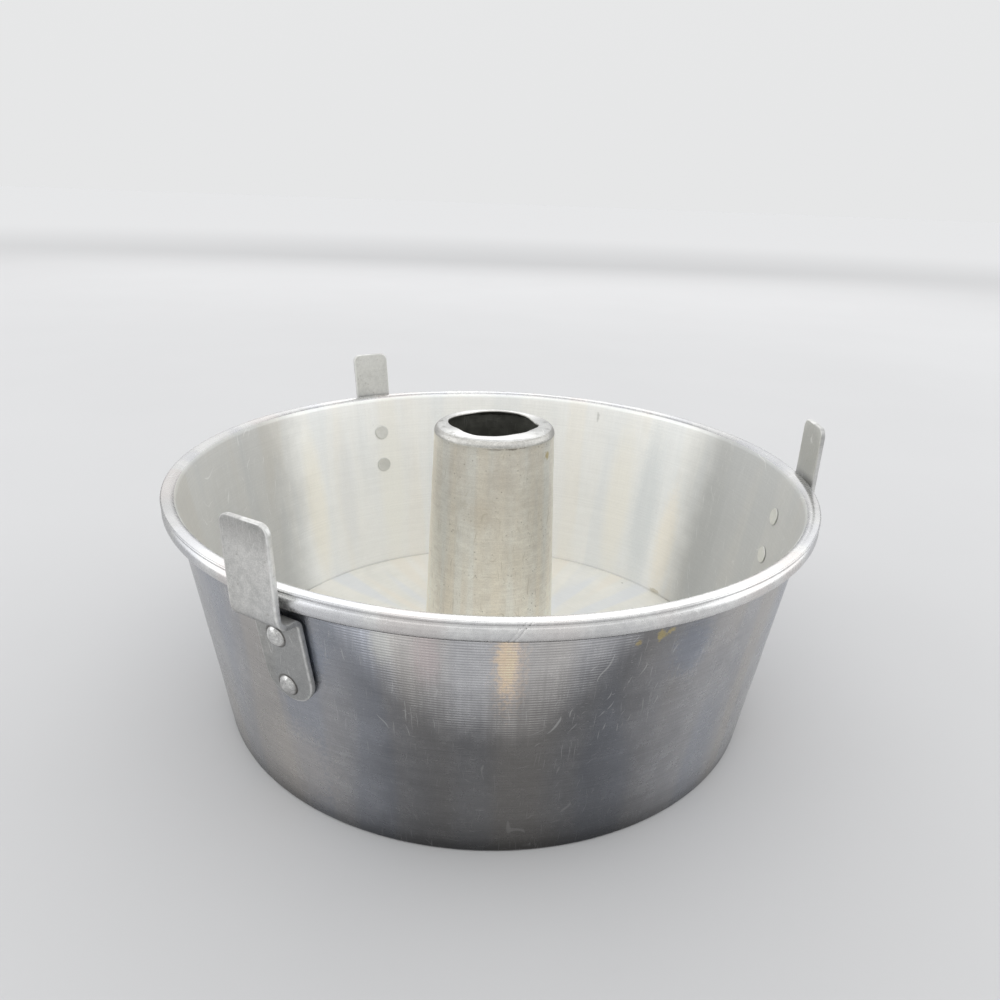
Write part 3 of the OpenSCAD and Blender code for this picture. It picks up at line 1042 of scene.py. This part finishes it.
# tint of the painted shadow in the crease under the shoulder
shoulder_crease_shade = (0.20, 0.18, 0.15)
tube_metal = spun_metal(
    "tube_metal", (0.80, 0.755, 0.67), (0.94, 0.915, 0.83), 0.44, 0.3, 0.9, 0.003, grain=5.0, pits=0.6,
    stains=stains_on(tube_r, (
        (-30.5, 106.5, 2.4, 0.7, (0.62, 0.48, 0.16), 1.0, 1.4),
        # painted shadow in the crease under the shoulder, at the front
        (-74.0, 112.1, 4.5, 0.75, shoulder_crease_shade, 0.16, 1.4),
        (-88.0, 112.0, 5.0, 0.45, shoulder_crease_shade, 0.10, 1.4),
        (-62.0, 112.3, 3.5, 0.55, (0.22, 0.20, 0.17), 0.16, 1.4),
        (-116.0, 88.0, 2.6, 0.25, (0.45, 0.40, 0.30), 1.0, 1.4),
        (-100.0, 84.0, 9.0, 0.30, (0.70, 0.62, 0.50), 1.0, 1.2),
        (-70.0, 62.0, 8.0, 0.25, (0.74, 0.68, 0.56), 1.4, 1.2),
        (-80.0, 100.0, 9.0, 0.25, (0.70, 0.65, 0.58), 0.8, 1.2),
    )),
    # tints in bands partly painted reflection; painted light and shade: darker toward the top, lighter at
    # the sides
    fine=300.0, line_shade=0.07, bands=((0.94, 0.87, 0.74), (0.90, 0.92, 0.89), 0.35),
    scratch_from=0.675, scratch=(0.5, (0.46, 0.42, 0.34)), speck=0.06, metal=0.75,
    levels=((30, 100, 0.74), (110, 112.4, 0.90)), sides=(-90.0, 0.2, 0.9, 0.20),
)
# A darker copy of the tube's metal: painted shade on the shoulder's curve, darker still at the sides, and
# lighter toward its lower edge to meet the tube
shoulder_shade_metal = spun_metal(
    "shoulder_shade_metal", (0.46, 0.45, 0.42), (0.66, 0.65, 0.62), 0.42, 0.3, 0.6, 0.002, grain=6.0, pits=0.7,
    fine=600.0, speck=0.12, sides=(-90.0, 0.25, 0.75, -0.35), levels=((tube_h - 2.6, tube_h - 3.6, 1.25),),
)
lip_dark, lip_grey = (0.26, 0.25, 0.23), (0.34, 0.33, 0.31)

# Stains on the tube's flat lip: angle, radius, size, strength and tint
LIP_STAINS = (
    (176.0, 22.6, 1.6, 0.7, lip_dark),
    (200.0, 22.0, 1.5, 0.6, (0.30, 0.29, 0.27)),
    (222.0, 22.4, 1.4, 0.5, lip_grey),
    (12.0, 22.0, 1.6, 0.65, lip_dark),
    (-14.0, 22.4, 1.4, 0.5, lip_grey),
    (-38.0, 21.6, 1.3, 0.4, lip_grey),
)
lip_metal = spun_metal(
    "lip_metal", (0.67, 0.67, 0.65), (0.86, 0.86, 0.84), 0.34, 0.3, 0.6, 0.002, grain=4.0, pits=0.6,
    stains=[(at_turn(turn, radius, tube_h), *look, 1.0, 1.6) for turn, radius, *look in LIP_STAINS],
    # painted shade: darker at the sides
    fine=500.0, speck=0.08, sides=(-90.0, 0.35, 0.85, -0.45),
)
# A dark copy of the tube's metal: painted shade inside the tube
bore_shade_metal = spun_metal(
    "bore_shade_metal", (0.31, 0.31, 0.28), (0.46, 0.46, 0.42), 0.50, 0.2, 1.2, 0.002, grain=2.0, fine=300.0,
)

# The feet's and the rivets' metals


def rolled_metal(name, dark, light, rough, **options):
    """The material of a rolled or forged piece, without lines round the axis."""
    return spun_metal(name, dark, light, rough, 0.0, 2.0, 0.0, line_shade=0.0, **options)


foot_metal = rolled_metal(
    "foot_metal", (0.325, 0.325, 0.315), (0.45, 0.445, 0.431), 0.40, grain=3.5, pits=0.5,
    # bright edges partly real wear and partly painted highlight
    fine=420.0, edge=(0.90, 0.90, 0.88), worn_low=0.6, metal=0.8, speck=0.10,
    bands=((0.40, 0.365, 0.325), (0.35, 0.36, 0.37), 0.4), scratch=(0.5, (0.66, 0.66, 0.64)),
    scratch_from=0.685, rings=rivet_rings(False, head_r, 0.75), levels=(
        # painted light and shade by height: the tab lighter than the plate and darker toward its top, and
        # darker round the shelf's bend
        (83, 93, 1.52), (106, 118, 0.66), (shelf_z + 3.2, shelf_z + 0.8, 0.5), (shelf_z, shelf_z - 2, 1.95),
    ),
)
# A dark copy of the foot's metal: painted shade under the shelf
foot_under_shade_metal = rolled_metal(
    "foot_under_shade_metal", (0.15, 0.145, 0.14), (0.24, 0.235, 0.23), 0.45, grain=3.0, fine=420.0, metal=0.8,
)
# A lighter copy of the foot's metal: painted light on the shelf and the faces toward the pan, which lie in
# shade; painted shade on the right and back feet, more high up on the right foot; bright edges partly real
# wear and partly painted highlight
foot_back_lit_metal = rolled_metal(
    "foot_back_lit_metal", (0.74, 0.74, 0.71), (0.90, 0.90, 0.87), 0.42, grain=5.0, pits=0.5, fine=520.0,
    edge=(0.95, 0.95, 0.93), metal=0.5, speck=0.05, sides=(60.0, 0.5, 0.9, -0.15),
    stains=((at_foot(0, tab_in_r, 0.0, 108.0), 22.0, 0.9, (0.46, 0.46, 0.43), 1.2, 0.3),),
)
rivet_metal = rolled_metal(
    "rivet_metal", (0.40, 0.395, 0.39), (0.78, 0.78, 0.76), 0.16, grain=4.0, fine=700.0, speck=0.12,
    rings=rivet_rings(False, head_r, 0.75),
)
tail_metal = rolled_metal(
    "tail_metal", (0.76, 0.76, 0.73), (0.87, 0.87, 0.84), 0.40, grain=4.0, fine=600.0,
    rings=rivet_rings(True, tail_r, 0.15),
)


def dress(obj, materials, choose=None):
    """Gives a piece its materials, and each face the one that choose names by its middle and normal."""
    for material in materials:
        obj.data.materials.append(material)
    if choose is not None:
        for face in obj.data.polygons:
            face.material_index = choose(face.center / MM, face.normal)


def facing(centre, normal):
    """How far a face is from the axis, and how much it faces away from the axis."""
    far = math.hypot(centre.x, centre.y)
    return far, (normal.x * centre.x + normal.y * centre.y) / far


def ring_region(centre, normal):
    """0 outside the wall, 1 on the rim, 2 inside."""
    far, outwards = facing(centre, normal)
    rolled = centre.z > pan_h - 8 and far > wall_r(centre.z) + 0.15
    if rolled or centre.z > pan_h - 1.2:
        return 1
    return 0 if outwards > 0 or centre.z < 0.2 else 2


def tail_region(centre, normal):
    """1 on a rivet's flat tail inside the pan, 0 on its head."""
    return int(math.hypot(centre.x, centre.y) < wall_r(centre.z) - ring_t / 2)


def tube_region(centre, normal):
    """0 on the tube's outside, 1 on the flat lip, 2 inside, 3 on the shoulder; 2 and 3 get copies of the
    tube's metal painted in shade.
    """
    outwards = facing(centre, normal)[1]
    if centre.z > tube_h - 1.0 and normal.z > 0.85:
        return 1
    if centre.z > tube_h - shoulder_r - 0.4 and normal.z > -0.2:
        return 3
    return 2 if outwards < -0.1 or (normal.z < -0.5 and centre.z > 20) else 0


def foot_region(centre, normal):
    """1 on the side of a foot that faces the pan and on its shelf, painted lighter, 2 under the shelf,
    painted in shade, 0 elsewhere.
    """
    if normal.z < -0.80 and centre.z > shelf_z - 1:
        return 2
    on_shelf = normal.z > 0.6 and centre.z < shelf_top_z + 2
    return int(on_shelf or facing(centre, normal)[1] < -0.6)


dress(ring, [outside_metal, rim_metal, inside_metal], ring_region)
dress(base, [base_metal])
dress(tube, [tube_metal, lip_metal, bore_shade_metal, shoulder_shade_metal], tube_region)
for foot in feet:
    dress(foot, [foot_metal, foot_back_lit_metal, foot_under_shade_metal], foot_region)
for rivet in rivets:
    dress(rivet, [rivet_metal, tail_metal], tail_region)


# Floor, light and camera


def build_floor():
    """A wide pale floor, paler far away."""
    bpy.ops.mesh.primitive_circle_add(vertices=128, radius=60, fill_type="NGON")
    floor = bpy.context.object
    floor.name = "floor"
    paint = bpy.data.materials.new("floor_paint")
    n = Nodes(paint)
    place = n.node("ShaderNodeTexCoord", {}, 3)
    near = n.mix(n.noise(place, 5.0), (0.60, 0.60, 0.605), (0.63, 0.63, 0.635))
    colour = n.mix(n.span(far_from_axis(n, place), 0.5, 5.0), near, (0.97, 0.97, 0.975))
    inputs = n.tree.nodes["Principled BSDF"].inputs
    n.put(inputs["Base Color"], colour)
    n.put(inputs["Roughness"], 0.9)
    n.put(inputs["Specular IOR Level"], 0.0)
    floor.data.materials.append(paint)


WORLD_LEVEL = 0.80
WORLD_TOP = 0.84


def build_world():
    """A soft pale room, a little lighter above. TexCoord's first output is the direction looked in."""
    world = bpy.data.worlds.new("room")
    bpy.context.scene.world = world
    n = Nodes(world)
    upwards = n.part(n.node("ShaderNodeTexCoord", {}), 2)
    inputs = n.tree.nodes["Background"].inputs
    n.put(inputs["Color"], (0.99, 0.995, 1.0))
    n.put(inputs["Strength"], n.span(upwards, 0.0, 0.8, WORLD_LEVEL, WORLD_TOP))


# Each lamp's name, place and size in metres, power in watts, and colour
LAMPS = (
    ("back_softbox", (0.0, 1.7, 1.2), (2.8, 1.5), 11.5, (1.0, 1.0, 1.0)),
    ("top_softbox", (0.0, -0.45, 1.5), (1.8, 1.4), 4.6, (1.0, 1.0, 1.0)),
    ("left_softbox", (-1.5, -0.1, 0.75), (1.6, 1.2), 6.0, (0.97, 0.985, 1.0)),
    ("right_softbox", (1.5, 0.2, 0.75), (1.6, 1.2), 5.5, (0.97, 0.985, 1.0)),
)
LAMP_TARGET = (0, 0, 0.05)


def build_lamp(name, place, size, power, colour):
    """A soft rectangular lamp that faces the middle of the pan."""
    data = bpy.data.lights.new(name, "AREA")
    data.shape = "RECTANGLE"
    data.size, data.size_y = size
    data.energy = power
    data.color = colour
    lamp = bpy.data.objects.new(name, data)
    bpy.context.scene.collection.objects.link(lamp)
    lamp.visible_camera = False
    lamp.location = place
    lamp.rotation_euler = (Vector(LAMP_TARGET) - Vector(place)).to_track_quat("-Z", "Y").to_euler()


def build_camera():
    """The photograph's camera: 0.37 m from the pan's middle, above its front, slightly rolled.

    back_off and height are metres; pitch, yaw and roll are radians.
    """
    back_off, height = 0.30493, 0.20199
    pitch, yaw, roll = 0.37761, 0.01113, 0.03675
    focal_px, frame_px, sensor_mm = 753.1, 1000, 36.0
    forward = Vector((math.sin(yaw) * math.cos(pitch), math.cos(yaw) * math.cos(pitch), -math.sin(pitch)))
    level = Vector((math.cos(yaw), -math.sin(yaw), 0))
    upright = level.cross(forward)
    right = math.cos(roll) * level + math.sin(roll) * upright
    up = right.cross(forward)
    data = bpy.data.cameras.new("camera")
    data.sensor_width = sensor_mm
    data.lens = sensor_mm * focal_px / frame_px
    data.clip_start = 0.01
    data.dof.use_dof = False
    camera = bpy.data.objects.new("camera", data)
    bpy.context.scene.collection.objects.link(camera)
    turn = Matrix((right, up, -forward)).transposed()
    camera.matrix_world = Matrix.Translation((0, -back_off, height)) @ turn.to_4x4()
    bpy.context.scene.camera = camera


build_floor()
build_world()
for lamp_row in LAMPS:
    build_lamp(*lamp_row)
build_camera()

view = bpy.context.scene.view_settings
view.view_transform = "Standard"
